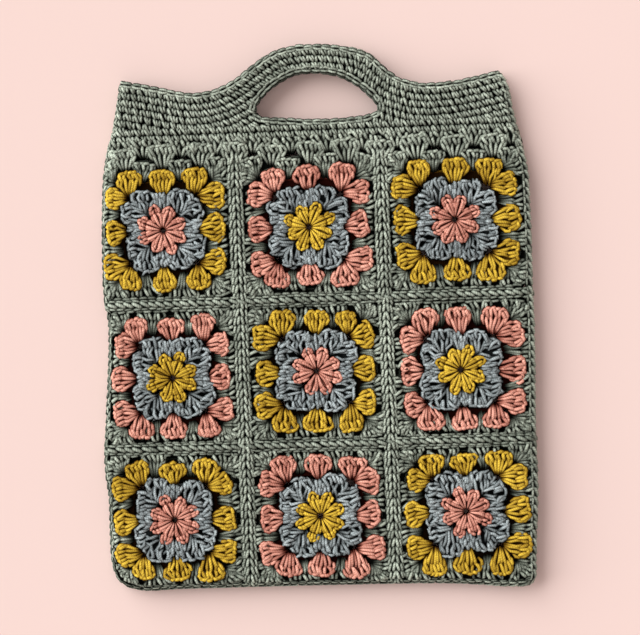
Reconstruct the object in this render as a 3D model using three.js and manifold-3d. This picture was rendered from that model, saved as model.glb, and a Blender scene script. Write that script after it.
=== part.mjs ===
// A crocheted granny square bag lying flat on its back.
// Millimetres, +Z up, +X to the right and +Y towards the handles. The origin is under the middle of the bag,
// on the surface that it lies on. Two knitted walls, each of nine squares, a border net and a top band with an
// arch handle, are closed round the sides and the bottom by one edge seam, and open at the top.

import * as THREE from 'three';
import { mergeVertices } from 'three/addons/utils/BufferGeometryUtils.js';
import Module from 'manifold-3d';

const wasm = await Module();
wasm.setup();

// Driving sizes

const wallThickness = 4; // worked cotton cord
const innerSpace = 6.4; // loft between the two walls of the empty bag
const ridgeHeight = 1.2; // joins stand proud of the wall
const ridgeWidth = 9;
const pieceGap = 0.4; // clearance between neighbouring pieces
const seamDepth = 3.2; // the edge seam, seen from above
const tallEnough = 60; // height of cutting prisms

const backLow = ridgeHeight;
const frontLow = backLow + wallThickness + innerSpace;
const middleHeight = backLow + wallThickness + innerSpace / 2;

// Yarns

const sage = { colour: 0x7d8176, roughness: 0.85 };
const mustard = { colour: 0xbd9420, roughness: 0.8 };
const coral = { colour: 0xd08b7c, roughness: 0.8 };
const dustyBlue = { colour: 0x7f8689, roughness: 0.85 };

// Outline of the bag, seen from the front. The sides lean and bulge as the squares do.

const sideTable = [
  { height: 173, left: -151, right: 141.5 },
  { height: 137, left: -156.5, right: 149 },
  { height: 115, left: -162, right: 155.5 },
  { height: 80, left: -163.9, right: 158 },
  { height: 14, left: -162.6, right: 160.2 },
  { height: -6, left: -159.2, right: 161.2 },
  { height: -86, left: -161.4, right: 162.2 },
  { height: -112, left: -162, right: 163.4 },
  { height: -136, left: -159, right: 163.9 },
  { height: -178, left: -157.2, right: 162.4 },
  { height: -190, left: -155.6, right: 162.6 },
];

const bottomTable = [
  { name: 'cut corner', x: -149.6, y: -199.4 },
  { name: 'left foot', x: -139.4, y: -204.6 },
  { name: 'left square', x: -100, y: -204 },
  { name: 'middle square', x: -2, y: -201.4 },
  { name: 'right square', x: 100, y: -200 },
  { name: 'right foot', x: 150, y: -202.4 },
  { name: 'right corner', x: 158.6, y: -201 },
];

const topTable = [
  { name: 'right corner', x: 136.4, y: 185.4 },
  { name: 'right slope', x: 107.6, y: 178.4 },
  { name: 'right dip', x: 80, y: 175 },
  { name: 'right root of the handle', x: 57, y: 180.4 },
  { name: 'right shoulder of the handle', x: 36, y: 196.8 },
  { name: 'crown of the handle', x: -3, y: 204.5 },
  { name: 'left shoulder of the handle', x: -36.4, y: 198.4 },
  { name: 'left root of the handle', x: -56, y: 185 },
  { name: 'left foot of the handle', x: -75, y: 171.6 },
  { name: 'left dip', x: -99.4, y: 167.8 },
  { name: 'left slope', x: -128, y: 173 },
  { name: 'left corner', x: -145.6, y: 177 },
];

const handHole = {
  leftCorner: [-47.6, 155],
  leftArch: [-44, 166, -28, 183],
  crownLeft: -11,
  crownRight: 1, // a short flat under the crown, where a hook or finger carries the bag
  crownHeight: 183,
  rightArch: [18, 183, 35, 166],
  rightCorner: [42.4, 157],
  sill: [30, 146.5, -36, 145.5],
  steps: 6,
};

// Joins between the squares: where a line crosses the middle of the bag, and how it leans

const joinColumns = [
  { name: 'left join', place: -59.9, lean: 0.0347 },
  { name: 'right join', place: 49.7, lean: 0.033 },
];

const joinRows = [
  { name: 'foot of the top band', place: 124, tilt: 0.0284 },
  { name: 'upper join', place: 13.7, tilt: 0.0237 },
  { name: 'lower join', place: -98.6, tilt: 0.0143 },
  { name: 'foot of the bag', place: -200.6, tilt: 0.0437 },
];

// One square, from its middle outwards

const half = 54.5; // half of a square
const flower = { petals: 8, tip: 18.8, notch: 15.6, puff: 0.8 };
const innerRound = { valley: 28.5, fan: 32.4, fanEnd: 15, notch: 24.5 };
const petalRound = { reach: 46.9, valley: 38.5, clusterHalf: 8.5, spacing: 29, cornerEnd: 37.5, corner: 41, puff: 0.6 };
const cornerGap = 29; // how far out the open gap at a corner of the inner round reaches

// Helpers for outlines and solids

const point = (x, y) => new THREE.Vector2(x, y);

function offsetOutline(points, distance) {
  // Moves each edge of a counterclockwise outline out by the distance
  return points.map((here, index) => {
    const before = points[(index + points.length - 1) % points.length];
    const after = points[(index + 1) % points.length];
    const arriving = here.clone().sub(before).normalize();
    const leaving = after.clone().sub(here).normalize();
    const normal = point(arriving.y + leaving.y, -arriving.x - leaving.x).normalize();
    const stretch = normal.x * arriving.y - normal.y * arriving.x;
    return here.clone().addScaledVector(normal, distance / stretch);
  });
}

function prism(outline, low, high, holes = []) {
  const shape = new THREE.Shape(outline);
  shape.holes = holes.map((hole) => new THREE.Path(hole));
  const geometry = new THREE.ExtrudeGeometry(shape, { depth: high - low, bevelEnabled: false, curveSegments: 1 });
  return geometry.translate(0, 0, low);
}

function solidOf(geometry) {
  const bare = geometry.clone();
  bare.deleteAttribute('normal');
  bare.deleteAttribute('uv');
  const merged = mergeVertices(bare);
  const vertProperties = new Float32Array(merged.attributes.position.array);
  const triVerts = new Uint32Array(merged.index.array);
  return new wasm.Manifold(new wasm.Mesh({ numProp: 3, vertProperties, triVerts }));
}

function geometryOf(solid) {
  const mesh = solid.getMesh();
  const geometry = new THREE.BufferGeometry();
  geometry.setAttribute('position', new THREE.BufferAttribute(mesh.vertProperties, 3));
  geometry.setIndex(new THREE.BufferAttribute(mesh.triVerts, 1));
  geometry.computeVertexNormals();
  return geometry;
}

function piece(name, geometry, yarn) {
  const finish = { color: yarn.colour, roughness: yarn.roughness, metalness: 0 };
  const mesh = new THREE.Mesh(geometry, new THREE.MeshStandardMaterial(finish));
  mesh.name = name;
  return mesh;
}

// The rim is the line on which both walls end: down the left side, along the bottom and up the right side

const rimSteps = 65;

function makeRim() {
  const leftSide = sideTable.map((row) => [row.left + seamDepth, row.height]);
  const foot = bottomTable.map((row) => [row.x, row.y + seamDepth]);
  const rightSide = sideTable.map((row) => [row.right - seamDepth, row.height]).reverse();
  const points = [...leftSide, ...foot, ...rightSide].map(([x, y]) => new THREE.Vector3(x, y, middleHeight));
  return new THREE.CatmullRomCurve3(points, false, 'centripetal');
}

const rim = makeRim();
const rimPoints = rim.getSpacedPoints(rimSteps).map((spot) => point(spot.x, spot.y));

const topEdgeSteps = 30;

function wallOutline() {
  const edge = new THREE.SplineCurve(topTable.map((row) => point(row.x, row.y)));
  const outline = [...rimPoints, ...edge.getPoints(topEdgeSteps)];
  return offsetOutline(outline, -pieceGap);
}

const wall = wallOutline();

// Where a join line runs

const columnAt = (column, y) => column.place - column.lean * y;
const rowAt = (row, x) => row.place + row.tilt * x;

// A square sits between its joins, or between a join and the rim, and is eased to the room that it has there

function sideRoom(centre, direction) {
  const beside = rimPoints.filter((spot) => Math.abs(spot.y - centre.y) < petalRound.cornerEnd);
  const rooms = beside.map((spot) => (spot.x - centre.x) * direction);
  return Math.min(...rooms.filter((room) => room > half / 2));
}

function footRoom(centre) {
  const below = rimPoints.filter((spot) => Math.abs(spot.x - centre.x) < petalRound.cornerEnd);
  const rooms = below.map((spot) => centre.y - spot.y);
  return Math.min(...rooms.filter((room) => room > half / 2));
}

const eased = (along, room) => along + (room - half) * (along / half) ** 3;

function makeSquare(row, column) {
  const [upper, lower] = joinRows.slice(row, row + 2);
  const middle = (upper.place + lower.place) / 2;
  const [left, right] = joinColumns.map((join) => columnAt(join, middle));
  const centreX = [left - half, (left + right) / 2, right + half][column];
  const tilt = (upper.tilt + lower.tilt) / 2;
  const lean = joinColumns[0].lean;
  const centre = point(centreX, middle + tilt * centreX);
  const room = {
    left: column === 0 ? sideRoom(centre, -1) : half,
    right: column === 2 ? sideRoom(centre, 1) : half,
    top: (upper.place - lower.place) / 2,
    bottom: row === 2 ? footRoom(centre) : (upper.place - lower.place) / 2,
  };
  const place = (spot) => {
    const across = spot.x < 0 ? -eased(-spot.x, room.left) : eased(spot.x, room.right);
    const up = spot.y < 0 ? -eased(-spot.y, room.bottom) : eased(spot.y, room.top);
    return point(centre.x + across - lean * up, centre.y + up + tilt * across);
  };
  return (outline) => outline.map(place);
}

// Outlines of one square's rounds, counterclockwise about its middle

const quarterTurns = [0, 1, 2, 3];

function fourSides(side) {
  const turned = (spot, turn) => spot.clone().rotateAround(point(0, 0), (turn * Math.PI) / 2);
  return quarterTurns.flatMap((turn) => side.map((spot) => turned(spot, turn)));
}

function flowerOutline() {
  const count = 2 * flower.petals;
  const spokes = Array.from({ length: count }, (_, index) => index);
  return spokes.map((index) => {
    const radius = index % 2 ? flower.notch : flower.tip;
    const angle = ((index + 1) / count) * 2 * Math.PI;
    return point(radius * Math.cos(angle), radius * Math.sin(angle));
  });
}

function innerOutline(cornerReach) {
  const { valley, fan, fanEnd } = innerRound;
  return fourSides([
    point(valley, 0),
    point(fan, fanEnd),
    point(cornerReach, cornerReach),
    point(fanEnd, fan),
  ]);
}

function petalOutline() {
  const { reach, valley, clusterHalf, spacing, cornerEnd, corner } = petalRound;
  return fourSides([
    point(reach, -clusterHalf),
    point(reach, clusterHalf),
    point(valley, spacing / 2),
    point(reach, spacing - clusterHalf),
    point(reach, cornerEnd),
    point(corner, corner),
    point(cornerEnd, reach),
    point(spacing - clusterHalf, reach),
    point(spacing / 2, valley),
  ]);
}

// The two walls

const sheets = [
  { name: 'front', low: frontLow, outward: 1 },
  { name: 'back', low: backLow, outward: -1 },
];

function layer(sheet, puff) {
  // The inner face is level, and a puffed piece stands proud on the outside
  const high = sheet.low + wallThickness;
  return sheet.outward > 0 ? [sheet.low, high + puff] : [sheet.low - puff, high];
}

function makeSquarePieces(sheet, row, column) {
  const place = makeSquare(row, column);
  const swapped = (row + column + (sheet.outward > 0 ? 0 : 1)) % 2 === 1;
  const flowerYarn = swapped ? mustard : coral;
  const petalYarn = swapped ? coral : mustard;
  const name = `${sheet.name}_r${row + 1}c${column + 1}`;
  const flowerShape = place(flowerOutline());
  const innerShape = place(innerOutline(innerRound.notch));
  const gapShape = place(innerOutline(cornerGap));
  const petalShape = place(petalOutline());
  const innerHole = offsetOutline(flowerShape, pieceGap);
  const petalHole = offsetOutline(gapShape, pieceGap);
  return [
    piece(`${name}_flower`, prism(flowerShape, ...layer(sheet, flower.puff)), flowerYarn),
    piece(`${name}_inner_round`, prism(innerShape, ...layer(sheet, 0), [innerHole]), dustyBlue),
    piece(`${name}_petal_round`, prism(petalShape, ...layer(sheet, petalRound.puff), [petalHole]), petalYarn),
  ];
}

const rowsAndColumns = [0, 1, 2].flatMap((row) => [0, 1, 2].map((column) => [row, column]));

function slabBeside(row, offset, direction) {
  // Everything above or below a join row
  const far = 400;
  const [left, right] = [-far, far].map((x) => point(x, rowAt(row, x) + offset));
  const [farLeft, farRight] = [-far, far].map((x) => point(x, rowAt(row, x) + offset + direction * far));
  return solidOf(prism([left, right, farRight, farLeft], -tallEnough, tallEnough));
}

function makeRidges(sheet) {
  const far = 230;
  const across = ridgeWidth / 2;
  const [low, high] = layer(sheet, ridgeHeight);
  const uprights = joinColumns.map((join) => {
    const [top, foot] = [far, -far].map((y) => point(columnAt(join, y), y));
    return [point(foot.x - across, foot.y), point(foot.x + across, foot.y),
      point(top.x + across, top.y), point(top.x - across, top.y)];
  });
  const levels = joinRows.slice(1, -1).map((join) => {
    const [left, right] = [-far, far].map((x) => point(x, rowAt(join, x)));
    return [point(left.x, left.y - across), point(right.x, right.y - across),
      point(right.x, right.y + across), point(left.x, left.y + across)];
  });
  const bars = [...uprights, ...levels].map((outline) => solidOf(prism(outline, low, high)));
  return bars.reduce((sum, bar) => sum.add(bar));
}

function makeBorderNet(sheet) {
  const windows = rowsAndColumns.map(([row, column]) => {
    const outline = offsetOutline(makeSquare(row, column)(petalOutline()), pieceGap);
    return solidOf(prism(outline, -tallEnough, tallEnough));
  });
  const panel = solidOf(prism(wall, -tallEnough, tallEnough)).intersect(slabBeside(joinRows[0], 0, -1));
  const plate = solidOf(prism(wall, ...layer(sheet, 0)));
  const net = windows.reduce((rest, opening) => rest.subtract(opening), plate.add(makeRidges(sheet)).intersect(panel));
  return piece(`${sheet.name}_border_net`, geometryOf(net), sage);
}

function handHolePath() {
  const { leftCorner, leftArch, crownLeft, crownRight, crownHeight, rightArch, rightCorner, sill, steps } = handHole;
  const path = new THREE.Path();
  path.moveTo(...leftCorner);
  path.bezierCurveTo(...leftArch, crownLeft, crownHeight);
  path.lineTo(crownRight, crownHeight);
  path.bezierCurveTo(...rightArch, ...rightCorner);
  path.bezierCurveTo(...sill, ...leftCorner);
  return path.getPoints(steps);
}

function makeTopBand(sheet) {
  const plate = solidOf(prism(wall, ...layer(sheet, 0), [handHolePath()]));
  const band = plate.intersect(slabBeside(joinRows[0], pieceGap, 1));
  return piece(`${sheet.name}_top_band`, geometryOf(band), sage);
}

// The edge seam is a half-round strip outside the rim. Its section lies in the frame of the rim's sweep:
// x runs down and y runs in towards the bag.

function makeEdgeSeam() {
  const reach = middleHeight - backLow;
  const shoulder = Math.SQRT1_2;
  const section = new THREE.Shape([
    point(-reach, 0),
    point(-reach * shoulder, -seamDepth * shoulder),
    point(0, -seamDepth),
    point(reach * shoulder, -seamDepth * shoulder),
    point(reach, 0),
  ]);
  const geometry = new THREE.ExtrudeGeometry(section, { steps: rimSteps, extrudePath: rim, bevelEnabled: false });
  return piece('edge_seam', geometry, sage);
}

const bag = new THREE.Group();
for (const sheet of sheets) {
  const panel = new THREE.Group();
  for (const [row, column] of rowsAndColumns) {
    panel.add(...makeSquarePieces(sheet, row, column));
  }
  panel.add(makeBorderNet(sheet), makeTopBand(sheet));
  bag.add(panel);
}
bag.add(makeEdgeSeam());

export default bag;
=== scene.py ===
import math
import bmesh
import bpy
import numpy as np
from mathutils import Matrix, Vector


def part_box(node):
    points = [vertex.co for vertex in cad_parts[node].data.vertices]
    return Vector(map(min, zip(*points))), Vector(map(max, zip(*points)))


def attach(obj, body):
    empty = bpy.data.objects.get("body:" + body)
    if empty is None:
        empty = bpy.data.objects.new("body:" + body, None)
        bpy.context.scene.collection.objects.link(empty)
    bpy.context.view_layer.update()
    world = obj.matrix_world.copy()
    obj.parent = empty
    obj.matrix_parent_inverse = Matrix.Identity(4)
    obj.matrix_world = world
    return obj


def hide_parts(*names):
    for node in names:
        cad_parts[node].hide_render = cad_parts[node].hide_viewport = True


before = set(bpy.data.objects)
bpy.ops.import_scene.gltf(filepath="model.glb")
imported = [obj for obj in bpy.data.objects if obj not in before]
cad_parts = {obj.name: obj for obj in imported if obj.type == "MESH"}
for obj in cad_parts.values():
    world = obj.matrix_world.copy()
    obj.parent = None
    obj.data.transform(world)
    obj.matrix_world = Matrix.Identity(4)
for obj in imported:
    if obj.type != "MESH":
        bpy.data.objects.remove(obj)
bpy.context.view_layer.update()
dice = np.random.default_rng(11)  # seeded, so each run works the same stitches
mm = 0.001
print("frame loaded:", len(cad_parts), "pieces to work in yarn")

# Camera, straight above the bag. Lengths are in millimetres.
view = {
    "frameWidth": 480.0, "distance": 1500.0, "sensor": 36.0,
    "aimX": -0.4, "aimY": -0.8, "aimHeight": 14.0,
}

cameraData = bpy.data.cameras.new("camera")
cameraData.sensor_width = view["sensor"]
cameraData.lens = view["sensor"] * view["distance"] / view["frameWidth"]
camera = bpy.data.objects.new("camera", cameraData)
camera.location = (view["aimX"] * mm, view["aimY"] * mm, (view["aimHeight"] + view["distance"]) * mm)
bpy.context.scene.collection.objects.link(camera)
bpy.context.scene.camera = camera
bpy.context.scene.view_settings.view_transform = "Standard"
print("camera set")


# The bag's walls and folds, read from the frame

def nodeBox(name):
    low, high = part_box(name)
    return np.array(low) / mm, np.array(high) / mm


def nodeMiddle(name):
    low, high = nodeBox(name)
    return (low + high) / 2


bag = {
    "half": 54.5,  # half of a square as it was worked
    "wallDepth": 2.0,  # from the middle of a wall to its outer face
    "foldRadius": 6.5,  # of the yarn that runs round a side
    "foldLimit": 0.55 * math.pi,  # cloth turns no further round a fold
    "topRoom": 54.5,  # from a top square's middle to the foot of the band
    "highest": 3.1,  # of the yarn above the middle of its wall, where the stitches are pressed flat
    "rightCorner": (134.4, 185.6),  # the band leans in to it
    "leftSide": -141.0, "rightSide": 140.0, "footSide": -195.0,  # where the rim turns to each side
    "rimNear": 0.05,  # in height, for a point of the seam that counts as on the rim
    "bandHeight": 124.0, "footHeight": -200.0,  # about where the squares end
}
strandSides = {"front": 6, "back": 5, "seam": 6}  # round each strand
lineSteps = {"ring": 61, "join": 60, "row": 81, "hole": 41, "bag": 161, "fine": 400}  # points on long lines
frontMiddle = nodeMiddle("front_top_band")[2]
backMiddle = nodeMiddle("back_top_band")[2]
bag["middle"] = (frontMiddle + backMiddle) / 2
bag["wallMiddle"] = (frontMiddle - backMiddle) / 2
bag["foldInset"] = bag["wallMiddle"] + bag["wallDepth"]
bag["foldLength"] = bag["foldRadius"] * math.pi / 2
bag["overhang"] = bag["foldLength"] - bag["foldInset"]  # flat cloth past the outline

seamSpots = np.array([spot.co[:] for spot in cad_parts["edge_seam"].data.vertices]) / mm
onRim = np.abs(seamSpots[:, 2] - bag["middle"]) < bag["rimNear"]
rimSpots = np.unique(np.round(seamSpots[onRim][:, :2], 2), axis=0)
leftRim = rimSpots[rimSpots[:, 0] < bag["leftSide"]]
leftRim = leftRim[np.argsort(leftRim[:, 1])]
rightRim = rimSpots[(rimSpots[:, 0] > bag["rightSide"]) & (rimSpots[:, 1] > bag["footSide"])]
rightRim = np.vstack([rightRim[np.argsort(rightRim[:, 1])], bag["rightCorner"]])
footRim = rimSpots[rimSpots[:, 1] < bag["footSide"]]
footRim = footRim[np.argsort(footRim[:, 0])]


def leftOutline(y):
    return np.interp(y, leftRim[:, 1], leftRim[:, 0])


def rightOutline(y):
    return np.interp(y, rightRim[:, 1], rightRim[:, 0])


def footOutline(x):
    return np.interp(x, footRim[:, 0], footRim[:, 1])


def layOnWall(flat, facing):
    # flat cloth in millimetres, its height outwards, folded round the sides and the foot of the bag
    x, y, rise = flat[..., 0], flat[..., 1], flat[..., 2]
    left = leftOutline(y) + bag["foldInset"]
    right = rightOutline(y) - bag["foldInset"]
    foot = footOutline(x) + bag["foldInset"]
    turnX = (np.maximum(x - right, 0) - np.maximum(left - x, 0)) / bag["foldRadius"]
    turnY = np.maximum(foot - y, 0) / bag["foldRadius"]
    turnX = np.clip(turnX, -bag["foldLimit"], bag["foldLimit"])
    turnY = np.clip(turnY, 0, bag["foldLimit"])
    reach = bag["wallMiddle"] + np.minimum(rise, bag["highest"])
    bagX = np.clip(x, left, right) + reach * np.sin(turnX)
    bagY = np.maximum(y, foot) - reach * np.cos(turnX) * np.sin(turnY)
    bagZ = bag["middle"] + facing * reach * np.cos(turnX) * np.cos(turnY)
    return np.stack([bagX, bagY, bagZ], axis=-1) * mm


squareRows = [1, 2, 3]
squareColumns = [1, 2, 3]
centres = np.array([[nodeMiddle(f"front_r{row}c{column}_flower")[:2] for column in squareColumns]
                    for row in squareRows])
squareNudge = np.array([[(-1.5, -1.3), (-1.2, -1.5), (-1.0, 1.2)],  # squares sewn a little out of line
                        [(1.7, -1.9), (0.7, 1.6), (-0.2, 0.3)],
                        [(-0.4, 0.1), (0.0, -0.1), (0.4, 0.2)]])
centres = centres + squareNudge


def lineThrough(along, across):
    return np.poly1d(np.polyfit(along, across, 1))


columnMiddles = (centres[:, :-1] + centres[:, 1:]) / 2
rowMiddles = (centres[:-1] + centres[1:]) / 2
columnJoins = [lineThrough(columnMiddles[:, k, 1], columnMiddles[:, k, 0]) for k in (0, 1)]
rowJoins = [lineThrough(rowMiddles[k, :, 0], rowMiddles[k, :, 1]) for k in (0, 1)]
squareLine = lineThrough(centres[0, :, 0], centres[0, :, 1])  # the middles of the top squares
bandFoot = lineThrough(centres[0, :, 0], centres[0, :, 1] + bag["topRoom"])
columnSides = [
    lambda y: leftOutline(y) - bag["overhang"],
    *columnJoins,
    lambda y: rightOutline(y) + bag["overhang"],
]
rowSides = [bandFoot, *rowJoins, lambda x: footOutline(x) - bag["overhang"]]
print("walls and folds read")


# Yarn strands. A strand is a run of points on the flat cloth, with a thickness at each point.

yarn = {
    "radius": 1.5,
    "ends": 0.6,  # share of the radius at the two ends of a strand
    "plyPitch": 4.6,  # along the strand, for the ply pattern
    "plies": 3,
    "jitter": 0.2,  # of a whole strand, out of its place
    "riseJitter": 0.6,  # share of that upwards
    "thickRange": (0.95, 1.05),
    "toneRange": (0.74, 1.14),
}

# Painted shade by height in the wall, from the inside of the wall to its outside: darkest deep in the
# stitch, lighter again on the inner face and on the outer tops
paintedDepthShade = {"rise": [-2.6, -2.0, -1.3, -0.3, 0.9, 2.0], "tone": [0.7, 0.4, 0.02, 0.07, 0.54, 1.0]}


def throughSpots(spots, count):
    # evenly spaced points on a smooth curve through a few spots
    spots = np.asarray(spots, float)
    padded = np.vstack([2 * spots[0] - spots[1], spots, 2 * spots[-1] - spots[-2]])
    at = np.linspace(0, len(spots) - 1, count)
    start = np.minimum(at.astype(int), len(spots) - 2)
    part = (at - start)[:, None]
    before, here, after, beyond = (padded[start + step] for step in range(4))
    bend = 2 * before - 5 * here + 4 * after - beyond
    twist = 3 * here - before - 3 * after + beyond
    return here + 0.5 * ((after - before) * part + bend * part ** 2 + twist * part ** 3)


def lay(strands, plan, rise, thick=1.0, tone=1.0, flatness=1.0, bare=False):
    # a bare strand, as on an edge, is left out of the painted shade by height and towards the flanks
    count = len(plan)
    shift = dice.normal(0, yarn["jitter"], 3)
    path = np.column_stack([plan, rise]) + shift * (1, 1, yarn["riseJitter"])
    taper = np.ones(count)
    taper[[0, -1]] = yarn["ends"]
    radius = yarn["radius"] * np.broadcast_to(thick, (count,)) * taper * dice.uniform(*yarn["thickRange"])
    strands.append((path, radius, tone * dice.uniform(*yarn["toneRange"]), flatness, bare))


def spinTubes(group, sides):
    # strands with the same number of points, swept to closed tubes all at once
    path = np.array([strand[0] for strand in group])
    radius = np.array([strand[1] for strand in group])
    tone = np.array([strand[2] for strand in group])
    flatness = np.array([strand[3] for strand in group])
    bare = np.array([strand[4] for strand in group])
    strandCount, pointCount = radius.shape
    run = np.gradient(path, axis=1)
    length = np.linalg.norm(run, axis=2, keepdims=True)
    run = run / length
    across = np.stack([run[..., 1], -run[..., 0], np.zeros_like(radius)], axis=-1)
    across = across / np.maximum(np.linalg.norm(across, axis=2, keepdims=True), 1e-6)
    upward = np.cross(across, run) * flatness[:, None, None]
    around = math.pi / 2 + (np.arange(sides) + 0.5) * 2 * math.pi / sides
    spoke = (np.cos(around)[None, None, :, None] * across[:, :, None, :]
             + np.sin(around)[None, None, :, None] * upward[:, :, None, :])
    ring = path[:, :, None, :] + radius[:, :, None, None] * spoke
    # painted shade: each point is darkened by its height in the wall, but bare strands are not; the
    # strand's tone, its own random tone together with the painted shade of a floor or core, is left off the
    # inner half of a flat strand
    depth = np.interp(ring[..., 2], paintedDepthShade["rise"], paintedDepthShade["tone"])
    shade = np.where(bare[:, None, None], 1.0, depth)
    innerHalf = (flatness < 1)[:, None, None] & (np.sin(around) < 0)[None, None, :]  # of a flat strand
    shade = shade * np.where(innerHalf, 1.0, tone[:, None, None])

    index = np.arange(strandCount * pointCount * sides).reshape(strandCount, pointCount, sides)
    ahead = np.roll(index, -1, axis=2)
    quads = np.stack([index[:, :-1], index[:, 1:], ahead[:, 1:], ahead[:, :-1]], axis=-1).reshape(-1, 4)
    caps = np.concatenate([index[:, 0], index[:, -1, ::-1]])

    # the ply map: along the strand, and round it with whole numbers on the crest, where the material's
    # painted flank shade is lightest
    travel = np.cumsum(length[..., 0], axis=1) / yarn["plyPitch"]
    low = np.broadcast_to(travel[:, :-1, None], (strandCount, pointCount - 1, sides))
    high = np.broadcast_to(travel[:, 1:, None], low.shape)
    # so a flat or bare strand gets no painted flank shade
    rounded = ((flatness == 1) & ~bare)[:, None, None]  # a flat or bare strand counts as crest all round
    capTurn = (np.arange(sides) + 0.5) / sides
    turn = rounded * np.broadcast_to(capTurn, low.shape)
    turnEnd = turn + rounded / sides
    quadMap = np.stack([low, turn, high, turn, high, turnEnd, low, turnEnd], axis=-1).reshape(-1, 2)
    firstMap = np.stack([np.repeat(travel[:, 0], sides), np.tile(capTurn, strandCount)], axis=-1)
    lastMap = np.stack([np.repeat(travel[:, -1], sides), np.tile(capTurn[::-1], strandCount)], axis=-1)
    return ring.reshape(-1, 3), shade.reshape(-1), quads, caps, quadMap, np.vstack([firstMap, lastMap])


triangleCount = {}


def makeYarnPiece(node, slot, strands, toBag, sides, turned):
    groups = {}
    for strand in strands:
        groups.setdefault(len(strand[0]), []).append(strand)
    spots, shades, faces, coords = [], [], [], []
    used = 0
    for group in groups.values():
        ring, shade, quads, caps, quadMap, capMap = spinTubes(group, sides)
        spots.append(toBag(ring))
        shades.append(shade)
        for part, partMap in ((quads, quadMap), (caps, capMap)):
            partMap = partMap.reshape(*part.shape, 2)
            if turned:  # the back wall is mirrored, so its faces are turned over
                part, partMap = part[:, ::-1], partMap[:, ::-1]
            faces.extend((part + used).tolist())
            coords.append(partMap.reshape(-1, 2))
        used += len(ring)
    mesh = bpy.data.meshes.new("yarn_" + node)
    mesh.from_pydata(np.concatenate(spots).tolist(), [], faces)
    mesh.uv_layers.new(name="ply").data.foreach_set("uv", np.concatenate(coords).astype(np.float32).ravel())
    # per point: the painted shade by height, times the strand's tone with the painted darkening of floors
    # and cores
    tone = mesh.attributes.new("tone", "FLOAT", "POINT")
    tone.data.foreach_set("value", np.concatenate(shades).astype(np.float32))
    mesh.shade_smooth()
    mesh.materials.append(cottonYarns[slot])
    piece = bpy.data.objects.new("yarn_" + node, mesh)
    bpy.context.scene.collection.objects.link(piece)
    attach(piece, "root")
    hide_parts(node)
    triangleCount[node] = sum(len(face) - 2 for face in faces)


# Materials

def linear(hexColour):
    shares = [int(hexColour[at:at + 2], 16) / 255 for at in (1, 3, 5)]
    return [share / 12.92 if share <= 0.04045 else ((share + 0.055) / 1.055) ** 2.4
            for share in shares] + [1.0]


def addNode(tree, kind, settings=None, links=None):
    new = tree.nodes.new(kind)
    for key, value in (settings or {}).items():
        if isinstance(key, str) and hasattr(new, key):
            setattr(new, key, value)
        else:
            new.inputs[key].default_value = value
    for key, output in (links or {}).items():
        tree.links.new(output, new.inputs[key])
    return new


# Tops of the plies, lines between them, the deeper colour that painted shade blends to in the stitch, and
# how fast painted shade darkens a strand towards its flanks
cottonColours = {
    "sage_yarn": {"light": "#cdd6c5", "deep": "#808a77", "between": "#4b5344", "flankShadeFall": 2.1},
    "mustard_yarn": {"light": "#f0cc4c", "deep": "#be8c12", "between": "#985800", "flankShadeFall": 1.4},
    "coral_yarn": {"light": "#fbbca7", "deep": "#dc7e67", "between": "#b43414", "flankShadeFall": 1.4},
    "dusty_blue_yarn": {"light": "#c0cacb", "deep": "#737c7d", "between": "#4c5556", "flankShadeFall": 1.9},
}
cottonLook = {
    "fuzz": {"size": 1.1, "detail": 3.0, "roughness": 0.6},
    "dye": {"size": 38.0, "detail": 2.0, "noise": (0.3, 0.7), "tone": (0.9, 1.08)},  # low and high
    "plyTop": 0.4,  # height on the wave of a ply where its top starts
    "plyTint": 0.45,  # how much the plies show in the colour
    "fuzzRelief": 0.35,  # height of the fuzz beside that of the plies
    "relief": {"strength": 0.6, "depth": 0.28},
    "roughness": 0.9, "gloss": 0.05,
}


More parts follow.
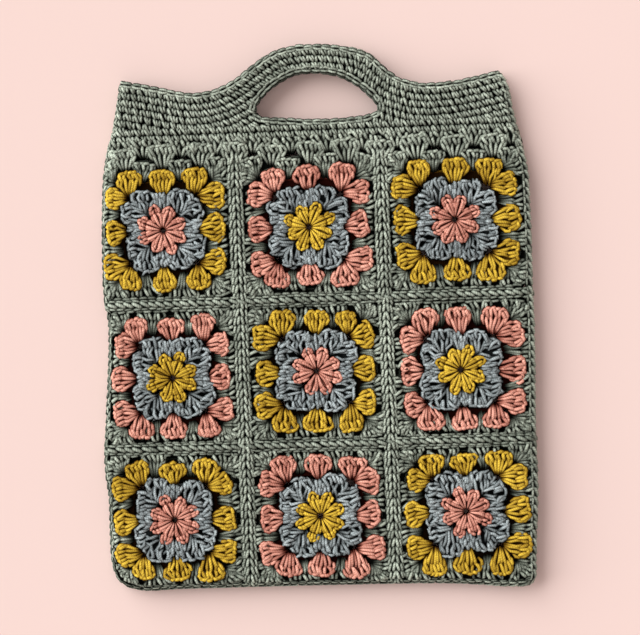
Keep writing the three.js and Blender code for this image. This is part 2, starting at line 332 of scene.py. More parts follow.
def makeCotton(slot, colours):
    # plied matt cotton: soft tops without gloss, thin dark lines where plies meet, uneven dye, and painted
    # shade, by height in the wall and towards each strand's flanks, that draws dark lines where strands
    # meet and blends through a deeper tint
    material = bpy.data.materials.new("plied cotton " + slot.replace("_yarn", "").replace("_", " "))
    material.use_nodes = True
    tree = material.node_tree
    tree.nodes.clear()
    look = cottonLook
    along = addNode(tree, "ShaderNodeUVMap", {"uv_map": "ply"})
    parts = addNode(tree, "ShaderNodeSeparateXYZ", {}, {0: along.outputs[0]})
    plyTurn = 2 * math.pi * yarn["plies"]
    turn = addNode(tree, "ShaderNodeMath", {"operation": "MULTIPLY", 1: plyTurn}, {0: parts.outputs[1]})
    angle = addNode(tree, "ShaderNodeMath", {"operation": "MULTIPLY_ADD", 1: plyTurn},
                    {0: parts.outputs[0], 2: turn.outputs[0]})
    wave = addNode(tree, "ShaderNodeMath", {"operation": "SINE"}, {0: angle.outputs[0]})
    ply = addNode(tree, "ShaderNodeMapRange", {"From Min": -1.0, "From Max": look["plyTop"]},
                  {"Value": wave.outputs[0]})
    place = addNode(tree, "ShaderNodeTexCoord")
    fuzz = addNode(tree, "ShaderNodeTexNoise",
                   {"Scale": 1 / (look["fuzz"]["size"] * mm), "Detail": look["fuzz"]["detail"],
                    "Roughness": look["fuzz"]["roughness"]}, {"Vector": place.outputs["Object"]})
    dye = addNode(tree, "ShaderNodeTexNoise",
                  {"Scale": 1 / (look["dye"]["size"] * mm), "Detail": look["dye"]["detail"]},
                  {"Vector": place.outputs["Object"]})
    mixed = addNode(tree, "ShaderNodeMath", {"operation": "MULTIPLY_ADD", 1: look["plyTint"]},
                    {0: ply.outputs[0], 2: fuzz.outputs[0]})
    tint = addNode(tree, "ShaderNodeMix",
                   {"data_type": "RGBA", "clamp_factor": True, 6: linear(colours["deep"]),
                    7: linear(colours["light"])}, {0: mixed.outputs[0]})
    # painted shade by height in the wall, with the strand's tone, read from the mesh
    depth = addNode(tree, "ShaderNodeAttribute", {"attribute_name": "tone"})
    noiseLow, noiseHigh = look["dye"]["noise"]
    toneLow, toneHigh = look["dye"]["tone"]
    uneven = addNode(tree, "ShaderNodeMapRange",
                     {"From Min": noiseLow, "From Max": noiseHigh, "To Min": toneLow, "To Max": toneHigh},
                     {"Value": dye.outputs[0]})
    # painted shade: each strand darkens towards its flanks by the turn round it, whatever the light
    lean = addNode(tree, "ShaderNodeMath", {"operation": "MULTIPLY", 1: 2 * math.pi}, {0: parts.outputs[1]})
    upward = addNode(tree, "ShaderNodeMath", {"operation": "COSINE"}, {0: lean.outputs[0]})
    facing = addNode(tree, "ShaderNodeMath", {"operation": "ABSOLUTE"}, {0: upward.outputs[0]})
    flank = addNode(tree, "ShaderNodeMath", {"operation": "POWER", 1: colours["flankShadeFall"]},
                    {0: facing.outputs[0]})
    # painted shade by height, times the real uneven dye
    dyedAndShaded = addNode(tree, "ShaderNodeMath", {"operation": "MULTIPLY"},
                   {0: depth.outputs["Fac"], 1: uneven.outputs[0]})
    shade = addNode(tree, "ShaderNodeMath", {"operation": "MULTIPLY"},
                    {0: dyedAndShaded.outputs[0], 1: flank.outputs[0]})
    # painted shade: shaded parts blend towards the deeper between colour as they darken
    shadeTinted = addNode(tree, "ShaderNodeMix",
                     {"data_type": "RGBA", "clamp_factor": True, 6: linear(colours["between"])},
                     {0: shade.outputs[0], 7: tint.outputs[2]})
    colour = addNode(tree, "ShaderNodeVectorMath", {"operation": "SCALE"},
                     {0: shadeTinted.outputs[2], "Scale": shade.outputs[0]})
    height = addNode(tree, "ShaderNodeMath", {"operation": "MULTIPLY_ADD", 1: look["fuzzRelief"]},
                     {0: fuzz.outputs[0], 2: ply.outputs[0]})
    relief = addNode(tree, "ShaderNodeBump",
                     {"Strength": look["relief"]["strength"], "Distance": look["relief"]["depth"] * mm},
                     {"Height": height.outputs[0]})
    cotton = addNode(tree, "ShaderNodeBsdfPrincipled",
                     {"Roughness": look["roughness"], "Specular IOR Level": look["gloss"]},
                     {"Base Color": colour.outputs[0], "Normal": relief.outputs[0]})
    addNode(tree, "ShaderNodeOutputMaterial", {}, {"Surface": cotton.outputs[0]})
    return material


cottonYarns = {slot: makeCotton(slot, colours) for slot, colours in cottonColours.items()}
print("yarns dyed:", ", ".join(cottonYarns))


# Shells, the clusters of posts that each round is made of

# Strands of a shell: a share of the half width there, a share of its length, and a rise in millimetres.
# Legs, heads and grains are moved to their own places.
shellStrands = {
    # the floor: a flat body deep under the shell, painted dark as shade by the stitch's gap
    "floor": np.array([(0.0, 0.06, -2.2), (0.0, 0.5, -1.3), (0.0, 0.97, -1.3)]),
    "leg": np.array([(0.0, -0.04, -1.2), (0.0, 0.2, 0.3), (0.0, 0.46, 0.9), (0.04, 0.7, 0.1)]),
    "fatHead": np.array([(-0.15, 0.0, 0.5), (-0.02, -0.16, 1.5), (0.17, -0.4, 0.4)]),
    "thinHead": np.array([(-0.04, 0.0, 0.3), (0.0, -0.16, 1.0), (0.05, -0.38, 0.1)]),
    "shoulder": np.array([(0.68, 0.97, -0.1), (0.94, 0.86, 0.8), (1.02, 0.62, 0.0)]),
    "flank": np.array([(0.98, 0.72, 0.2), (0.99, 0.54, 0.7), (0.92, 0.32, -0.5)]),
    "grain": np.array([(-0.62, -0.07, 0.3), (-0.1, 0.0, 1.5), (0.6, -0.01, 0.5)]),
}
shell = {
    "points": 4,  # along each strand
    "along": [0.0, 0.2, 0.45, 0.7, 0.88, 1.0],  # shares of its length where its flare is given
    "rootLoose": 0.4, "tipLoose": 1.05, "widthLoose": 0.055,
    "floorFoot": (1.0, 0.4, 0.0, 0.0), "floorHead": (0.0, 0.6, 0.97, 0.9),  # shares of the widths there
    "floorFlatness": 0.2,
    "legSpread": 1.8, "legThick": (0.7, 1.12),
    "headSpread": 1.76, "headTop": 0.98, "headFall": 0.1, "headThick": {"fatHead": 1.08, "thinHead": 1.0},
    "grainSpread": 1.66, "grainTop": 1.0, "grainFall": 0.09, "grainThick": 1.1, "grainWidth": 1.7,
}


def evenShares(count, spread):
    return [spread * ((each + 0.5) / count - 0.5) for each in range(count)]


def workCluster(strands, place, root, tip, stitch, hand=1):
    # a shell out of one gap: legs from the root, slanting heads above them, and grains round the end
    root = np.array(root, float) + dice.normal(0, shell["rootLoose"], 2)
    tip = np.array(tip, float) + dice.normal(0, shell["tipLoose"], 2)
    length = np.hypot(*(tip - root))
    out = (tip - root) / length
    right = hand * np.array([out[1], -out[0]])
    foot = 0.5 * stitch["rootWidth"]
    head = 0.5 * stitch["tipWidth"] * dice.normal(1, shell["widthLoose"])
    pinch = dice.uniform(0, 1)
    pinched = stitch.get("pinched", stitch["flare"])
    flare = (1 - pinch) * np.array(stitch["flare"]) + pinch * np.array(pinched)

    def add(spots, thick, tone=1.0, flatness=1.0):
        spots = spots + dice.normal(0, 1, (len(spots), 3)) * stitch["loose"]
        path = throughSpots(spots, shell["points"])
        half = foot + (head - foot) * np.interp(path[:, 1], shell["along"], flare)
        plan = root + np.outer(path[:, 0] * half, right) + np.outer(path[:, 1] * length, out)
        lay(strands, place(plan), path[:, 2] + stitch["puff"], thick, tone, flatness)

    thick = stitch["thick"]
    floorHalf = foot * np.array(shell["floorFoot"]) + head * np.array(shell["floorHead"])
    add(shellStrands["floor"], floorHalf / yarn["radius"], stitch["gap"], shell["floorFlatness"])
    for share in evenShares(stitch["legs"], shell["legSpread"]):
        add(shellStrands["leg"] + (share, 0, 0), thick * np.linspace(*shell["legThick"], shell["points"]))
    for each, share in enumerate(evenShares(stitch["heads"], shell["headSpread"])):
        kind = "thinHead" if each % 2 else "fatHead"
        top = shell["headTop"] - shell["headFall"] * share * share
        add(shellStrands[kind] + (share, top, 0), shell["headThick"][kind] * thick)
    for side in (-1, 1):
        add(shellStrands["shoulder"] * (side, 1, 1), thick)
        add(shellStrands["flank"] * (side, 1, 1), thick)
    if stitch["bar"] > 0:
        width = shell["grainWidth"] / stitch["grains"]
        for share in evenShares(stitch["grains"], shell["grainSpread"]):
            top = shell["grainTop"] - shell["grainFall"] * share * share
            spots = shellStrands["grain"] * (width, 1, 1) + (share, top, 0)
            add(spots, shell["grainThick"] * stitch["bar"])


def fourTurns(spot):
    x, y = spot
    return [(x, y), (-y, x), (-x, -y), (y, -x)]


def workRound(strands, place, rows, stitch, sides=(0, 1, 2, 3)):
    # the same clusters on the four sides of a square, the upper one first
    for row in rows:
        roots, tips = fourTurns(row["root"]), fourTurns(row["tip"])
        for side in sides:
            workCluster(strands, place, roots[side], tips[side], {**stitch, **row})


# Flowers. Spots lie aside from a petal's middle line, out from the flower's middle, and upwards.

flowerShape = {
    "petals": 8, "tip": 18.8, "puff": 0.7,
    "turnLoose": 0.04, "tipLoose": 0.8, "bendLoose": 0.25, "grainLoose": 0.35,
}
# the flat body under a petal's rays, painted darker as the shade between them by its tone
petalFloor = {
    "spots": [(0.0, 3.0, -0.9), (0.0, 9.0, -0.6)],
    "end": (0.0, -1.6, -0.8),  # measured from the tip
    "thick": [0.4, 1.8, 2.7, 2.3], "tone": 0.7, "flatness": 0.4,
}
petalRay = {
    "spots": [(0.42, 2.1, -0.5), (0.98, 5.0, 0.7), (1.6, 8.4, 1.2), (1.7, 11.4, 1.0), (1.4, 13.6, -0.2)],
    "bends": [0, 0, 1, 1, 0],  # which spots go with a bend
    "thick": [0.36, 0.62, 0.86, 1.08, 1.18, 1.14, 0.96],
}
petalFlank = {
    "spots": [(2.4, 6.8, -0.6), (3.0, 9.6, 0.8), (3.3, 12.6, 0.2)],
    "bends": [0, 0, 1], "thick": [1.06, 1.06, 1.06, 1.06, 1.06],
}
petalGrains = {
    "lines": [  # measured from the tip
        [(3.1, -6.6, 0.0), (3.7, -4.4, 1.0), (3.2, -2.2, 0.2)],
        [(3.2, -3.3, 0.4), (1.9, -1.2, 1.2), (0.2, -0.3, 0.5)],
        [(1.5, -6.4, 0.2), (1.4, -4.2, 1.0), (0.8, -2.2, 0.3)],
    ],
    "thick": [1.08, 1.08, 1.08, 1.08],
}


def workFlower(strands, place):
    # rays that lie side by side all round, with short grains packed at the end of each petal
    shape = flowerShape
    for petal in range(shape["petals"]):
        angle = (petal + 0.5) * 2 * math.pi / shape["petals"] + dice.normal(0, shape["turnLoose"])
        out = np.array([math.cos(angle), math.sin(angle)])
        right = np.array([out[1], -out[0]])
        tip = shape["tip"] + dice.normal(0, shape["tipLoose"])

        def add(spots, thick, tone=1.0, flatness=1.0):
            path = throughSpots(spots, len(thick))
            plan = np.outer(path[:, 0], right) + np.outer(path[:, 1], out)
            lay(strands, place(plan), path[:, 2] + shape["puff"], thick, tone, flatness)

        floor = petalFloor
        floorEnd = np.array(floor["end"]) + (0, tip, 0)
        add([*floor["spots"], floorEnd], floor["thick"], floor["tone"], floor["flatness"])
        for side in (-1, 1):
            bend = dice.normal(0, shape["bendLoose"])
            for line in (petalRay, petalFlank):
                spots = np.array(line["spots"]) * (side, 1, 1) + np.outer(line["bends"], (bend, 0, 0))
                add(spots, line["thick"])
            for line in petalGrains["lines"]:
                spots = np.array(line) * (side, 1, 1) + (0, tip, 0)
                add(spots + dice.normal(0, shape["grainLoose"], spots.shape), petalGrains["thick"])


# Rounds of a square, about its middle and as its upper side has them. A stitch gives the number of legs,
# heads and grains of a shell, its widths, the rise of it all, how thick its grains (bar) and strands are,
# how far painted shade darkens its floor (gap), how loose its strands lie, and how it widens to its tip
# (flare). A row may change any of these.

innerStitch = {
    "legs": 4, "heads": 5, "grains": 3, "rootWidth": 6.0, "tipWidth": 17.0, "puff": 0.0, "bar": 1.0,
    "thick": 1.18, "gap": 0.3, "loose": (0.15, 0.055, 0.5), "flare": [0.0, 0.4, 0.8, 1.0, 0.96, 0.8],
}
innerPair = {"legs": 2, "heads": 2, "rootWidth": 3.0, "tipWidth": 5.0, "bar": 0}
innerRows = [
    {"root": (-11.8, 12.0), "tip": (-13.0, 29.4)},
    {"root": (11.8, 12.0), "tip": (13.0, 29.4)},
    {"root": (-1.8, 13.4), "tip": (-3.4, 27.0), **innerPair},
    {"root": (1.8, 13.4), "tip": (3.4, 27.0), **innerPair},
]

petalStitch = {
    "legs": 5, "heads": 5, "grains": 4, "rootWidth": 6.4, "tipWidth": 18.8, "puff": 0.5, "bar": 1.12,
    "thick": 1.2, "gap": 0.5, "loose": (0.07, 0.03, 0.3), "flare": [0.0, 0.34, 0.72, 0.97, 1.02, 0.88],
    "pinched": [0.0, 0.52, 0.92, 1.0, 0.86, 0.64],  # each shell lies between flare and pinched
}
petalRows = [
    {"root": (0.4, 27.8), "tip": (-0.5, 44.6)},
    {"root": (-24.4, 27.6), "tip": (-26.0, 44.2), "tipWidth": 17.4},
    {"root": (24.4, 27.6), "tip": (25.4, 44.2), "tipWidth": 17.4},
]

borderStitch = {
    "legs": 5, "heads": 5, "grains": 4, "rootWidth": 6.0, "tipWidth": 25.0, "puff": -0.7, "bar": 0.0,
    "thick": 1.12, "gap": 0.06, "loose": (0.05, 0.025, 0.25), "flare": [0.0, 0.14, 0.4, 0.7, 0.9, 1.0],
}
borderRows = [
    {"root": (-14.0, 32.6), "tip": (-14.4, 49.4)},
    {"root": (14.0, 32.6), "tip": (14.4, 49.4)},
    {"root": (-37.4, 36.8), "tip": (-40.8, 49.4), "tipWidth": 23.0},
    {"root": (37.4, 36.8), "tip": (40.8, 49.4), "tipWidth": 23.0},
]
topBorderRows = [
    {"root": (-14.4, 37.0), "tip": (-14.4, 52.6), "tipWidth": 21.0, "bar": 1.1},
    {"root": (14.4, 37.0), "tip": (14.4, 52.6), "tipWidth": 21.0, "bar": 1.1},
    {"root": (-38.8, 37.6), "tip": (-42.2, 52.4), "tipWidth": 19.0, "bar": 1.1},
    {"root": (38.8, 37.6), "tip": (42.2, 52.4), "tipWidth": 19.0, "bar": 1.1},
]

# Chain spaces: flat rings deep in the cloth, from which the clusters of the next round come, painted dark
# as shade by their tone
chainSpaces = {
    "inner": {"reach": 22.5, "width": 4.5}, "petals": {"reach": 33.5, "width": 4.0},
    "border": {"reach": 43.5, "width": 4.0}, "edge": {"reach": 49.5, "width": 4.0},
    "rise": -2.4, "tone": 0.14, "flatness": 0.2, "squareness": 4,
}


def squareRing(reach, first, last, squareness):
    # part of a rounded square, from one angle to another in degrees
    angles = np.radians(np.linspace(first, last, lineSteps["ring"]))
    steer = np.column_stack([np.cos(angles), np.sin(angles)])
    return reach * steer / (np.abs(steer) ** squareness).sum(axis=1, keepdims=True) ** (1 / squareness)


def workChainSpace(strands, place, ring):
    # a rounded square of loose chains
    plan = squareRing(ring["reach"], 0, 360, chainSpaces["squareness"])
    lay(strands, place(plan), np.full(len(plan), chainSpaces["rise"]), ring["width"] / yarn["radius"],
        chainSpaces["tone"], chainSpaces["flatness"])


def squarePlace(row, column, mirrored):
    # the worked square, leaned and stretched to the room that it has on the bag
    centre = centres[row - 1, column - 1]
    tilt = np.polyfit(centres[row - 1, :, 0], centres[row - 1, :, 1], 1)[0]
    lean = np.polyfit(centres[:, column - 1, 1], centres[:, column - 1, 0], 1)[0]
    half = bag["half"]
    hand = -1 if mirrored else 1

    def place(spots):
        across, up = spots[:, 0] * hand, spots[:, 1]
        x = centre[0] + across + lean * up
        y = centre[1] + up + tilt * across
        leftRoom = centre[0] + lean * up - columnSides[column - 1](y)
        rightRoom = columnSides[column](y) - centre[0] - lean * up
        topRoom = rowSides[row - 1](x) - centre[1] - tilt * across
        footRoom = centre[1] + tilt * across - rowSides[row](x)
        sideRoom = np.where(across < 0, leftRoom, rightRoom)
        levelRoom = np.where(up < 0, footRoom, topRoom)
        x = x + (sideRoom - half) * (across / half) ** 3
        y = y + (levelRoom - half) * (up / half) ** 3
        return np.column_stack([x, y])

    return place


def flatPlace(spots):
    return spots


# Chains along a line, as on the joins and the edges. A dash is one short strand of a chain, with its spots
# along the line, to its right and upwards. A core is the flattened body of yarn under a row of stitches,
# painted dark as shade by its tone.

dashLoose = {"slide": 0.35, "lean": 0.06}


def evenLine(points, pitch, shift=0.0):
    # stations along a line of points, with the direction at each
    points = np.asarray(points, float)
    steps = np.linalg.norm(np.diff(points, axis=0), axis=1)
    along = np.concatenate([[0], np.cumsum(steps)])
    count = max(2, int(round(along[-1] / pitch)))
    at = (np.arange(count) + 0.5 + shift) * along[-1] / count
    spots = np.column_stack([np.interp(at, along, points[:, k]) for k in (0, 1)])
    ahead = np.column_stack([np.interp(at + 1, along, points[:, k]) for k in (0, 1)])
    behind = np.column_stack([np.interp(at - 1, along, points[:, k]) for k in (0, 1)])
    run = ahead - behind
    run = run / np.linalg.norm(run, axis=1, keepdims=True)
    return spots, run


def workDash(strands, station, run, dash, hand=1, side=1, tone=1.0):
    path = throughSpots(np.array(dash["spots"]) * (hand, side, 1), dash["points"])
    right = np.array([run[1], -run[0]])
    slide = dice.normal(0, dashLoose["slide"])
    lean = dice.normal(0, dashLoose["lean"])
    plan = station + np.outer(path[:, 0] + slide, run) + np.outer(path[:, 1] + lean * path[:, 0], right)
    lay(strands, plan, path[:, 2], dash["thick"], tone * dash.get("tone", 1.0), dash.get("flatness", 1.0),
        dash.get("bare", False))


def workDashes(strands, points, pitch, dash, side=1, tone=1.0):
    for station, run in zip(*evenLine(points, pitch)):
        workDash(strands, station, run, dash, 1, side, tone)


def workCore(strands, points, core):
    stations, runs = evenLine(points, core["pitch"])
    lay(strands, stations, np.full(len(stations), core["rise"]), core["width"] / yarn["radius"],
        core["tone"], core["flatness"])


join = {
    "pitch": 6.1,
    "rowTone": 0.84,  # the joins between rows lie a little in shade
    "core": {"pitch": 9.0, "width": 4.4, "rise": -1.5, "tone": 0.3, "flatness": 0.25},
    "rope": {"spots": [(-3.8, -1.5, 0.0), (-1.5, -0.7, 1.4), (1.5, 0.7, 1.5), (3.8, 1.5, 0.2)],
             "points": 5, "thick": 1.36},
    "ropeSide": {"spots": [(-3.8, -2.9, -0.3), (-1.4, -3.1, 0.9), (1.4, -3.0, 0.9), (3.8, -2.7, -0.2)],
                 "points": 4, "thick": 0.88},
    "braid": {"spots": [(-3.8, 2.5, 0.0), (-1.6, 2.1, 1.4), (1.5, 1.2, 1.5), (3.8, 0.7, 0.2)],
              "points": 4, "thick": 1.12},
    "braidSide": {"spots": [(-3.8, 5.0, -0.6), (-1.6, 4.7, 0.8), (1.5, 4.0, 0.9), (3.8, 3.6, -0.5)],
                  "points": 4, "thick": 0.98},
}


def workRope(strands, points, tone=1.0):
    # a join along a row: fat slanting stitches, with a finer line of loops above and below them
    workCore(strands, points, join["core"])
    workDashes(strands, points, join["pitch"], join["rope"], 1, tone)
    for side in (1, -1):
        workDashes(strands, points, join["pitch"], join["ropeSide"], side, tone)


def workBraid(strands, points):
    # a join down a column: four lines of stitches that lean together
    workCore(strands, points, join["core"])
    for line in ("braid", "braidSide"):
        for side in (-1, 1):
            workDashes(strands, points, join["pitch"], join[line], side)


squareLoop = {
    "reach": 50.0, "pitch": 6.4, "squareness": 14,
    "span": (0, 360), "openSpan": (135, 405),  # degrees, all round or without the upper side
    "dash": {"spots": [(-3.9, 0.5, -0.9), (-1.5, -0.3, 0.1), (1.5, -0.4, 0.1), (3.9, 0.4, -0.9)],
             "points": 4, "thick": 1.0},
}


def workSquareLoops(strands, place, openTop):
    # loops along the outer edge of a square, left out where fans go on to the band
    first, last = squareLoop["openSpan" if openTop else "span"]
    plan = squareRing(squareLoop["reach"], first, last, squareLoop["squareness"])
    workDashes(strands, place(plan), squareLoop["pitch"], squareLoop["dash"])


def workSquares(wall, facing):
    def toBag(flat):
        return layOnWall(flat, facing)

    mirrored = facing < 0
    sides = strandSides[wall]
    net = []
    for row in squareRows:
        for column in squareColumns:
            place = squarePlace(row, column, mirrored)
            flowerSlot, petalSlot = "coral_yarn", "mustard_yarn"
            if (row + column + mirrored) % 2 == 1:  # the colours take turns, round the bag too
                flowerSlot, petalSlot = petalSlot, flowerSlot
            square = f"{wall}_r{row}c{column}"
            flower, inner, petals = [], [], []
            workChainSpace(inner, place, chainSpaces["inner"])
            workChainSpace(petals, place, chainSpaces["petals"])
            workChainSpace(net, place, chainSpaces["border"])
            workChainSpace(net, place, chainSpaces["edge"])
            workFlower(flower, place)
            workRound(inner, place, innerRows, innerStitch)
            workRound(petals, place, petalRows, petalStitch)
            workRound(net, place, borderRows, borderStitch, (1, 2, 3) if row == 1 else (0, 1, 2, 3))
            workSquareLoops(net, place, row == 1)
            if row == 1:
                workRound(net, place, topBorderRows, borderStitch, (0,))
            makeYarnPiece(square + "_flower", flowerSlot, flower, toBag, sides, mirrored)
            makeYarnPiece(square + "_inner_round", "dusty_blue_yarn", inner, toBag, sides, mirrored)
            makeYarnPiece(square + "_petal_round", petalSlot, petals, toBag, sides, mirrored)
    for line in columnJoins:
        foot = footOutline(line(bag["footHeight"])) - bag["overhang"]
        heights = np.linspace(foot, bandFoot(line(bag["bandHeight"])), lineSteps["join"])
        workBraid(net, np.column_stack([line(heights), heights]))
    for line in rowJoins:
        left, right = edgeSpan(line(0))
        places = np.linspace(left, right, lineSteps["join"])
        workRope(net, np.column_stack([places, line(places)]), join["rowTone"])
    makeYarnPiece(wall + "_border_net", "sage_yarn", net, toBag, sides, mirrored)
    print(wall, "squares worked")


# Top band: one row of fans, then solid rows that part round the hand hole and close over the handle

band = {
    "fanRows": [  # heights above the middles of the top squares
        {"root": 46.4, "tip": 62.6, "tipWidth": 20.0, "bar": 1.1},
        {"root": 55.8, "tip": 68.4, "tipWidth": 25.0, "bar": 0.0},
    ],
    "solidFoot": 66.2,
    "fanStep": 28.5,  # along a square, from the fan over its middle to the next
    "stitchWidth": 6.9,
    "rowHeight": 5.2,
    "rowShift": 0.26,  # of a stitch, from each row up to the next
    "levelRows": 2,  # under the hand hole
    "levelReach": 170.0,  # to each side, past the outline
    "topRows": 8,  # along the top edge, as far down as there is room
    "topOverlap": 0.25,  # of a row, that they may run into the level rows
    "firstRow": 5.9,  # from the top edge down to the middle of the first row
    "holeRoom": 3.6,  # from the hand hole out to the middles of the nearest stitches
    "edgeInset": 2.6,  # from the outline in to the middle of its chain
}
fanStitch = {
    "legs": 4, "heads": 5, "grains": 4, "rootWidth": 6.0, "puff": 0.0, "thick": 1.24,
    "gap": 0.3, "loose": (0.04, 0.02, 0.2), "flare": [0.0, 0.3, 0.7, 0.95, 1.0, 0.95],
}
topEdge = [
    (-128, 173), (-99.4, 167.8), (-80, 170.2), (-66, 177), (-56, 185), (-36.4, 198.4), (-20, 203),
    (-3, 204.3), (18, 202.4), (36, 196.8), (52, 183.6), (63, 178), (80, 175), (107.6, 178.4),
]
topCorners = {"left": 177.4, "right": 185.6}
handHole = {
    "arch": [(-48.6, 152.6), (-47.8, 158.4), (-43.4, 165), (-34.3, 173.6), (-22, 180.6), (-11, 183),
             (1, 183), (13, 181), (26, 174.4), (37.6, 165), (42.8, 158.2), (42.6, 155)],
    "sill": [(-48.6, 152.6), (-44, 150), (-34, 149.2), (-4, 148), (26, 149.6), (38, 152.4), (42.6, 155)],
}
backPeek = {"out": 2.0, "middle": 30.0, "spread": 26.0}  # where the back handle shows past the front one


def edgeSpan(y):
    return leftOutline(y) - bag["overhang"], rightOutline(y) + bag["overhang"]


def evenRun(spots, count):
    # a smooth line with its points evenly spaced
    fine = throughSpots(spots, lineSteps["fine"])
    travel = np.concatenate([[0], np.cumsum(np.linalg.norm(np.diff(fine, axis=0), axis=1))])
    at = np.linspace(0, travel[-1], count)
    return np.column_stack([np.interp(at, travel, fine[:, k]) for k in (0, 1)])


def rightOf(line):
    # the direction to the right of a line, at each of its points
    run = np.gradient(line, axis=0)
    run = run / np.linalg.norm(run, axis=1, keepdims=True)
    return np.column_stack([run[:, 1], -run[:, 0]])


def shifted(line, distance):
    # a line moved to its right
    return line + np.asarray(distance)[..., None] * rightOf(line)


def bandLines(facing):
    # the top edge and the two sides of the hand hole, each from left to right
    leftTop, rightTop = edgeSpan(topCorners["left"])[0], edgeSpan(topCorners["right"])[1]
    top = [(leftTop, topCorners["left"]), *topEdge, (rightTop, topCorners["right"])]
    top = evenRun(top, lineSteps["bag"])
    if facing < 0:
        fromPeek = (top[:, 0] - backPeek["middle"]) / backPeek["spread"]
        top = shifted(top, -backPeek["out"] * np.exp(-fromPeek ** 2))
    arch, sill = (evenRun(handHole[side], lineSteps["hole"]) for side in ("arch", "sill"))
    return {"top": top, "arch": arch, "sill": sill}


def insideLoop(spots, loop):
    # which spots lie in a closed line, by the times that a ray to the right crosses it
    ahead = np.roll(loop, -1, axis=0)
    x, y = spots[:, :1], spots[:, 1:]
    crosses = (loop[:, 1] > y) != (ahead[:, 1] > y)
    slope = (ahead[:, 0] - loop[:, 0]) / (ahead[:, 1] - loop[:, 1] + 1e-9)
    return (crosses & (x < loop[:, 0] + (y - loop[:, 1]) * slope)).sum(axis=1) % 2 == 1


# Dashes of one solid stitch, from its middle: a flat floor, painted dark as shade by its tone, and three
# slanting strands
solidStitch = [
    {"spots": [(-3.9, 0.0, -1.8), (0.0, 0.0, -1.6), (3.9, 0.0, -1.8)],
     "points": 3, "thick": 2.0, "tone": 0.12, "flatness": 0.25},
    {"spots": [(-3.2, -2.3, -1.4), (-3.2, -1.0, 1.2), (-2.9, 0.5, 1.2), (-2.5, 1.9, -1.4)],
     "points": 5, "thick": 0.94},
    {"spots": [(-1.9, -2.6, -1.4), (-1.2, -1.2, 1.3), (0.6, 1.2, 1.3), (1.5, 2.5, -1.4)],
     "points": 6, "thick": 0.98},
    {"spots": [(0.6, -2.5, -1.4), (1.2, -1.3, 1.2), (2.1, 0.3, 1.1), (2.8, 1.6, -1.4)],
     "points": 5, "thick": 0.86},
]


def workSolidRow(strands, line, row, keep, hand):
    stations, runs = evenLine(line, band["stitchWidth"], -(row * band["rowShift"]) % 1 - 0.5)
    kept = keep(stations)
    for station, run in zip(stations[kept], runs[kept]):
        for dash in solidStitch:
            workDash(strands, station, run, dash, hand)


def workSolidRows(strands, lines, hand):
    # level rows above the fans, then rows that follow the top edge and part round the hand hole
    rowHeight = band["rowHeight"]
    levelTop = band["solidFoot"] + band["levelRows"] * rowHeight
    room = band["holeRoom"]
    hole = np.vstack([shifted(lines["arch"], -room), shifted(lines["sill"], room)[::-1]])

    def inCloth(spots):
        left, right = edgeSpan(spots[:, 1])
        return (spots[:, 0] > left) & (spots[:, 0] < right) & ~insideLoop(spots, hole)

    def aboveLevel(spots):
        lowest = squareLine(spots[:, 0]) + levelTop - band["topOverlap"] * rowHeight
        return inCloth(spots) & (spots[:, 1] > lowest)

    for row in range(band["levelRows"]):
        places = np.linspace(-band["levelReach"], band["levelReach"], lineSteps["row"])
        heights = squareLine(places) + band["solidFoot"] + (row + 0.5) * rowHeight
        workSolidRow(strands, np.column_stack([places, heights]), row, inCloth, hand)
    for row in range(band["topRows"]):
        depth = band["firstRow"] + row * rowHeight
        workSolidRow(strands, shifted(lines["top"], depth), -row, aboveLevel, hand)


# Lens-shaped loops on an edge: a strand on the face, one behind it and a bare one slanting over the rim,
# left out of the painted shade; the core under them is painted dark as shade
edgeChain = {
    "pitch": 6.6,
    "core": {"pitch": 5.0, "width": 2.0, "rise": -1.2, "tone": 0.2, "flatness": 0.7},
    "dashes": [
        {"spots": [(-4.2, 0.2, 0.2), (-1.7, 1.3, 1.4), (1.7, 1.3, 1.5), (4.2, 0.4, 0.2)],
         "points": 5, "thick": 0.98},
        {"spots": [(-4.0, -0.4, -0.4), (-1.7, -1.3, 0.7), (1.7, -1.4, 0.7), (4.0, -0.6, -0.4)],
         "points": 5, "thick": 0.92},
        {"spots": [(-4.2, -0.8, -1.6), (-1.6, -1.3, -1.2), (1.6, -1.3, -0.3), (4.2, -0.8, 0.1)],
         "points": 4, "thick": 1.0, "tone": 0.6, "bare": True},
    ],
}


def workEdgeChain(strands, points, inward):
    workCore(strands, points, edgeChain["core"])
    for dash in edgeChain["dashes"]:
        workDashes(strands, points, edgeChain["pitch"], dash, inward)


def workBand(wall, facing):
    strands = []
    overSquares = [centres[0, :, 0] + step for step in (-band["fanStep"], 0, band["fanStep"])]
    overJoins = [line(squareLine(0) + band["fanRows"][0]["root"]) for line in columnJoins]
    places = np.sort(np.concatenate([*overSquares, overJoins, edgeSpan(bag["bandHeight"])]))
    for fanRow in band["fanRows"]:
        for x in places:
            height = squareLine(x)
            workCluster(strands, flatPlace, (x, height + fanRow["root"]), (x, height + fanRow["tip"]),
                        {**fanStitch, **fanRow}, facing)
        places = (places[:-1] + places[1:]) / 2
    lines = bandLines(facing)
    workSolidRows(strands, lines, facing)
    inset = band["edgeInset"]
    workEdgeChain(strands, shifted(lines["top"], inset), 1)
    workEdgeChain(strands, shifted(lines["arch"], -inset), -1)
    workEdgeChain(strands, shifted(lines["sill"], inset), 1)

    def toBag(flat):
        return layOnWall(flat, facing)

    makeYarnPiece(wall + "_top_band", "sage_yarn", strands, toBag, strandSides[wall], facing < 0)
    print(wall, "band worked")


# Edge seam: a chain round both sides and the foot

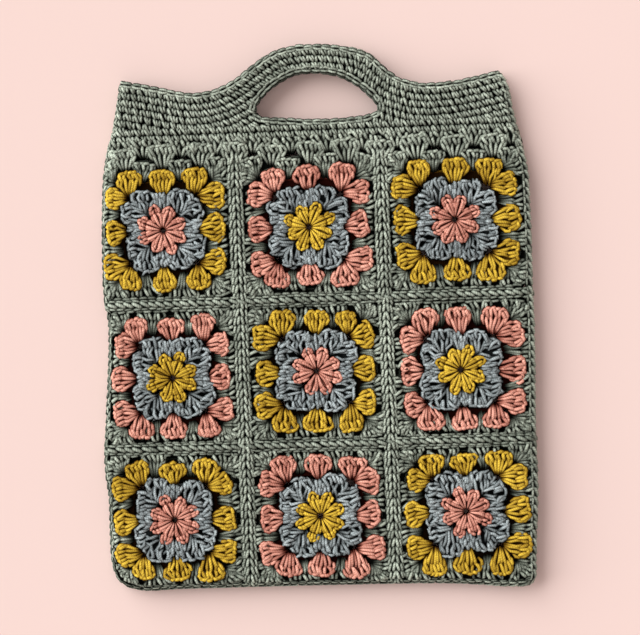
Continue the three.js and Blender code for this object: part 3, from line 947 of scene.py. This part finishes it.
seam = {
    "leftTurn": -20.0, "footTurn": 8.0, "rightTurn": 42.0,  # degrees from the side towards the front
    "leftTop": 175.0, "rightTop": 182.6,  # heights where it ends, under the top edge
    "leftCorner": (0.33, 0.39), "rightCorner": (0.6, 0.66),  # shares of its length where it goes round
}
sideLoops = {  # lines of loops that fill the fold beside the seam, each over a share of the seam's length
    "lines": [{"first": 0.0, "last": 0.34, "turn": 32.0}, {"first": 0.62, "last": 1.0, "turn": -8.0},
              {"first": 0.62, "last": 1.0, "turn": -34.0}],
    "pitch": 6.4,
    # the core's tone is painted shade
    "core": {"pitch": 9.0, "width": 3.6, "rise": -1.6, "tone": 0.5, "flatness": 0.25},
    "dash": {"spots": [(-3.9, 0.5, -0.7), (-1.5, -0.3, 0.5), (1.5, -0.4, 0.5), (3.9, 0.4, -0.7)],
             "points": 4, "thick": 1.0},
}


def seamLine():
    # the middle of the fold, down the left side, along the foot and up the right side
    left = np.vstack([(leftOutline(seam["leftTop"]), seam["leftTop"]), leftRim[::-1]])
    right = np.vstack([rightRim[:-1], (rightOutline(seam["rightTop"]), seam["rightTop"])])
    line = np.vstack([left, footRim[footRim[:, 0] > left[-1, 0]], right])
    line = evenRun(line, lineSteps["bag"])
    outward = rightOf(line)
    return line - outward * bag["foldInset"], outward


def workSeam():
    line, outward = seamLine()
    travel = np.concatenate([[0], np.cumsum(np.linalg.norm(np.diff(line, axis=0), axis=1))])
    length = travel[-1]
    corners = [*seam["leftCorner"], *seam["rightCorner"]]
    turns = np.radians([seam["leftTurn"], seam["footTurn"], seam["footTurn"], seam["rightTurn"]])

    def toBag(flat):
        share = np.clip(flat[..., 0] / length, 0, 1)
        middle = np.stack([np.interp(share, travel / length, line[:, k]) for k in (0, 1)], axis=-1)
        normal = np.stack([np.interp(share, travel / length, outward[:, k]) for k in (0, 1)], axis=-1)
        turn = np.interp(share, corners, turns) - flat[..., 1] / bag["foldRadius"]
        reach = bag["wallMiddle"] + np.minimum(flat[..., 2], bag["highest"])
        spot = middle + normal * (reach * np.cos(turn))[..., None]
        height = bag["middle"] + reach * np.sin(turn)
        return np.concatenate([spot, height[..., None]], axis=-1) * mm

    strands = []
    along = np.linspace(0, length, lineSteps["bag"])
    workRope(strands, np.column_stack([along, np.zeros_like(along)]))
    for loops in sideLoops["lines"]:
        share = np.linspace(loops["first"], loops["last"], lineSteps["row"])
        aside = (np.interp(share, corners, turns) - math.radians(loops["turn"])) * bag["foldRadius"]
        fill = np.column_stack([share * length, aside])
        workCore(strands, fill, sideLoops["core"])
        workDashes(strands, fill, sideLoops["pitch"], sideLoops["dash"])
    makeYarnPiece("edge_seam", "sage_yarn", strands, toBag, strandSides["seam"], False)
    print("edge seam worked")


for wall, facing in (("front", 1), ("back", -1)):
    workSquares(wall, facing)
    workBand(wall, facing)
workSeam()
print("triangles:", sum(triangleCount.values()), "largest piece:", max(triangleCount.values()))


# Floor and light

studio = {
    "floor": "#fbdfd7", "floorHalf": 4.0, "floorRoughness": 0.95, "floorGloss": 0.1,
    "keyFrom": (-2.6, 1.4, 0.9), "keyStrength": 4.84, "keySoftness": 84.0, "keyColour": (0.96, 1.0, 1.01),
    "ambient": 0.5, "ambientColour": (1.0, 0.91, 0.89, 1.0),
}

floorShape = bmesh.new()
bmesh.ops.create_grid(floorShape, x_segments=1, y_segments=1, size=studio["floorHalf"])
floorMesh = bpy.data.meshes.new("floor")
floorShape.to_mesh(floorMesh)
floorShape.free()
paper = bpy.data.materials.new("matt pink paper")  # pale, even and without gloss
paper.use_nodes = True
paperShader = paper.node_tree.nodes["Principled BSDF"]
paperShader.inputs["Base Color"].default_value = linear(studio["floor"])
paperShader.inputs["Roughness"].default_value = studio["floorRoughness"]
paperShader.inputs["Specular IOR Level"].default_value = studio["floorGloss"]
floorMesh.materials.append(paper)
floor = bpy.data.objects.new("floor", floorMesh)
bpy.context.scene.collection.objects.link(floor)

keyData = bpy.data.lights.new("key", "SUN")
keyData.energy = studio["keyStrength"]
keyData.color = studio["keyColour"]
keyData.angle = math.radians(studio["keySoftness"])
key = bpy.data.objects.new("key", keyData)
key.location = studio["keyFrom"]
key.rotation_euler = (-key.location).to_track_quat("-Z", "Y").to_euler()
bpy.context.scene.collection.objects.link(key)

world = bpy.data.worlds.new("soft room")
world.use_nodes = True
background = world.node_tree.nodes["Background"]
background.inputs["Color"].default_value = studio["ambientColour"]
background.inputs["Strength"].default_value = studio["ambient"]
bpy.context.scene.world = world
print("studio lit")
